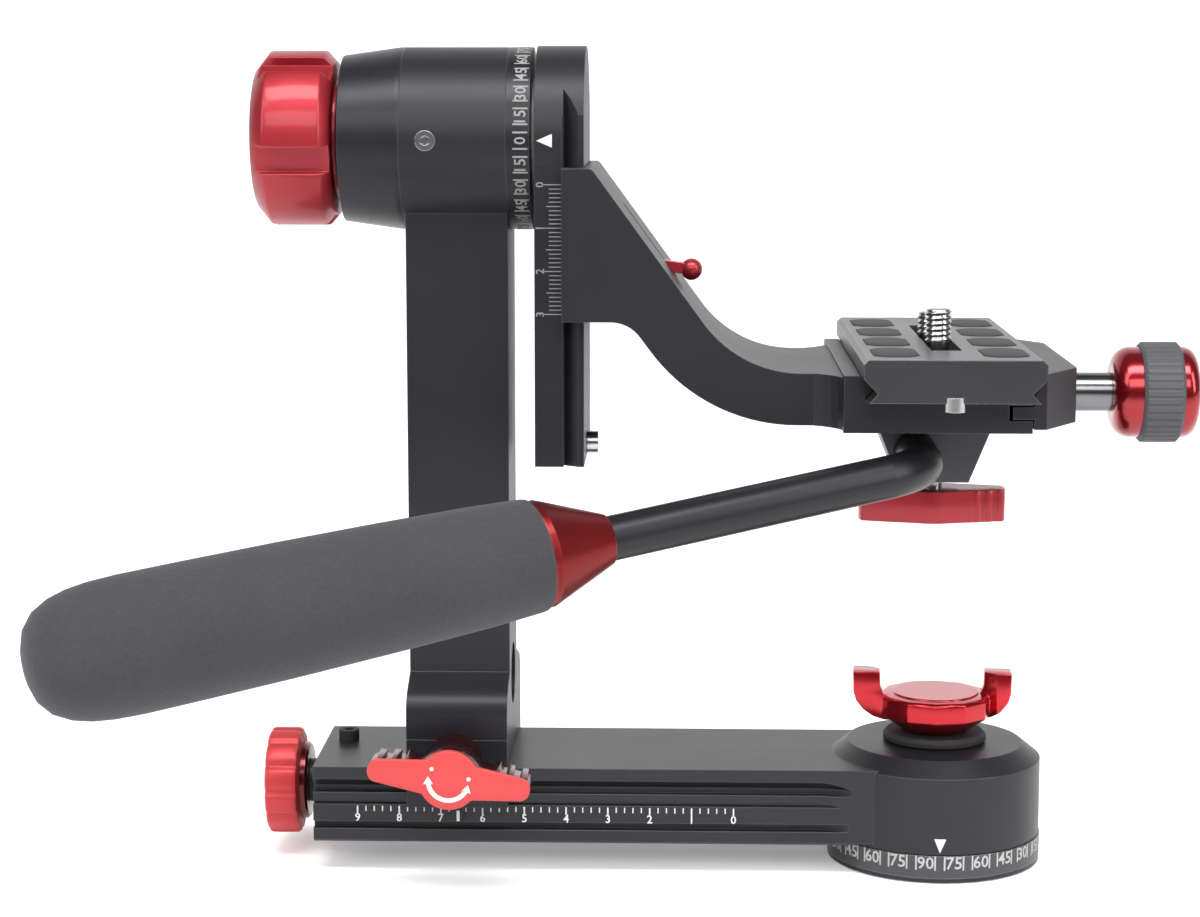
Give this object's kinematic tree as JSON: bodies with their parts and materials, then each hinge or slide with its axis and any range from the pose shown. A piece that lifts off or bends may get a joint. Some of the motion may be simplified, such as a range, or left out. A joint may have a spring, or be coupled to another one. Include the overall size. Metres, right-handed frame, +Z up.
{
  "type": "gimbal tripod head",
  "caption": "Gimbal tripod head for a long lens: panning base, screw-driven arm, tilting rail with a cradle and quick-release plate, and a foam-gripped pan handle.",
  "frame": {"origin": "mouth of the tripod thread, on the base's underside, under the pan axis", "axes": "+Z up along the pan axis; -X along the arm, away from the pan axis; the handle comes forward along -Y"},
  "size_m": [0.254, 0.1894, 0.1962],
  "materials": {
    "black_anodised": "bead-blasted, satin black anodised aluminium",
    "plate_anodised": "milled aluminium, dark grey anodised",
    "red_anodised": "glossy red anodised aluminium",
    "steel": "turned steel, plain",
    "brass": "turned brass",
    "slide_plastic": "white low-friction plastic",
    "pad_rubber": "matt black rubber",
    "ribbed_rubber": "dark grey ribbed rubber",
    "grip_foam": "closed-cell foam, fine grain",
    "grip_tube": "plain moulded plastic"
  },
  "bodies": {
    "base": {"base_disc": "black_anodised", "pan_degree_ring": "black_anodised", "tripod_thread_insert": "brass", "pan_spindle": "steel", "base_screws": "steel", "pan_thrust_washer": "slide_plastic", "pan_pressure_plate": "black_anodised"},
    "pan_arm": {"pan_arm": "black_anodised", "pan_bush": "brass", "pan_friction_washer": "grip_tube", "lead_screw_bush": "brass", "arm_stop_stud": "black_anodised"},
    "pan_knob": {"pan_lock_knob": "red_anodised", "pan_knob_nut": "brass"},
    "lead_screw": {"end_knob": "red_anodised", "end_collar": "black_anodised", "lead_screw": "steel"},
    "carriage": {"upright": "black_anodised", "front_jaw": "black_anodised", "lead_nut": "brass", "foot_bolt": "steel", "hub_cap": "black_anodised", "hub_degree_ring": "black_anodised", "hub_bearings": "steel", "tilt_thrust_washers": "slide_plastic", "hub_set_screw": "steel"},
    "slide_knob": {"slide_wing_knob": "red_anodised", "slide_knob_stud": "steel", "slide_collar": "red_anodised"},
    "tilt_knob": {"tilt_lock_knob": "red_anodised", "tilt_knob_nut": "brass"},
    "tilt": {"tilt_rail": "black_anodised", "tilt_shaft": "steel", "rail_stop_screw": "steel"},
    "cradle": {"cradle_arm": "black_anodised", "brake_plunger": "steel", "lever_pin": "steel", "handle_block": "black_anodised", "block_screws": "steel"},
    "lever": {"brake_lever": "red_anodised", "lever_ball": "red_anodised"},
    "jaw": {"moving_jaw": "black_anodised", "jaw_guide_pins": "steel"},
    "clamp_knob": {"clamp_screw": "steel", "clamp_knob_core": "red_anodised", "clamp_knob_grip": "ribbed_rubber"},
    "plate": {"qr_plate": "plate_anodised", "plate_pads": "pad_rubber", "plate_stop_screws": "steel"},
    "front_keeper": {"front_screw_keeper": "brass"},
    "front_screw": {"front_camera_screw": "steel"},
    "rear_keeper": {"rear_screw_keeper": "brass"},
    "rear_screw": {"rear_camera_screw": "steel"},
    "handle": {"handle_rod": "black_anodised", "handle_ferrule": "red_anodised", "grip_core_tube": "grip_tube", "foam_grip": "grip_foam"},
    "handle_knob": {"handle_wing_knob": "red_anodised", "handle_wing_stud": "steel", "handle_brake_pad": "slide_plastic"}
  },
  "joints": [
    {"name": "pan_turn", "type": "hinge", "parent": "base", "child": "pan_arm", "pos_m": [0, 0, 0], "axis": [0, 0, 1], "continuous": true},
    {"name": "pan_knob_turn", "type": "hinge", "parent": "base", "child": "pan_knob", "pos_m": [0, 0, 0.032], "axis": [0, 0, 1], "range_deg": [-30, 330]},
    {"name": "carriage_slide", "type": "slide", "parent": "pan_arm", "child": "carriage", "axis": [1, 0, 0], "range_m": [-0.0145, 0.064]},
    {"name": "lead_screw_turn", "type": "hinge", "parent": "pan_arm", "child": "lead_screw", "pos_m": [-0.1501, 0, 0.017], "axis": [1, 0, 0], "range_deg": [-2900, 720]},
    {"name": "slide_knob_turn", "type": "hinge", "parent": "carriage", "child": "slide_knob", "pos_m": [-0.1156, -0.04, 0.0284], "axis": [0, -1, 0], "range_deg": [-45, 360]},
    {"name": "tilt_knob_turn", "type": "hinge", "parent": "carriage", "child": "tilt_knob", "pos_m": [-0.15, 0, 0.1744], "axis": [1, 0, 0], "range_deg": [-60, 480]},
    {"name": "tilt_turn", "type": "hinge", "parent": "carriage", "child": "tilt", "pos_m": [-0.11515, 0, 0.1744], "axis": [1, 0, 0], "range_deg": [-90, 20]},
    {"name": "cradle_slide", "type": "slide", "parent": "tilt", "child": "cradle", "axis": [0, 0, 1], "range_m": [-0.025, 0.012]},
    {"name": "lever_turn", "type": "hinge", "parent": "cradle", "child": "lever", "pos_m": [-0.0776, 0, 0.146], "axis": [0, -1, 0], "range_deg": [0, 60]},
    {"name": "jaw_slide", "type": "slide", "parent": "cradle", "child": "jaw", "axis": [1, 0, 0], "range_m": [0, 0.004]},
    {"name": "clamp_knob_turn", "type": "hinge", "parent": "jaw", "child": "clamp_knob", "pos_m": [0.03, 0, 0.1142], "axis": [1, 0, 0], "range_deg": [0, 1440]},
    {"name": "plate_slide", "type": "slide", "parent": "cradle", "child": "plate", "axis": [0, 1, 0], "range_m": [-0.002, 0.002]},
    {"name": "front_keeper_slide", "type": "slide", "parent": "plate", "child": "front_keeper", "axis": [0, 1, 0], "range_m": [-0.017, 0.0035]},
    {"name": "front_screw_turn", "type": "hinge", "parent": "front_keeper", "child": "front_screw", "pos_m": [-0.00185, -0.01, 0.125], "axis": [0, 0, 1], "continuous": true},
    {"name": "rear_keeper_slide", "type": "slide", "parent": "plate", "child": "rear_keeper", "axis": [0, 1, 0], "range_m": [-0.0035, 0.017]},
    {"name": "rear_screw_turn", "type": "hinge", "parent": "rear_keeper", "child": "rear_screw", "pos_m": [-0.00185, 0.01, 0.125], "axis": [0, 0, 1], "continuous": true},
    {"name": "handle_turn", "type": "hinge", "parent": "cradle", "child": "handle", "pos_m": [-0.00725, 0, 0.1015], "axis": [0, 1, 0], "range_deg": [-25, 15]},
    {"name": "handle_knob_turn", "type": "hinge", "parent": "cradle", "child": "handle_knob", "pos_m": [-0.00175, 0, 0.09], "axis": [0, 0, 1], "range_deg": [-45, 405]}
  ],
  "couplings": [
    {"joint": "lead_screw_turn", "follows": "carriage_slide", "rad_per_m": -785.4},
    {"joint": "clamp_knob_turn", "follows": "jaw_slide", "rad_per_m": 6283.2}
  ]
}
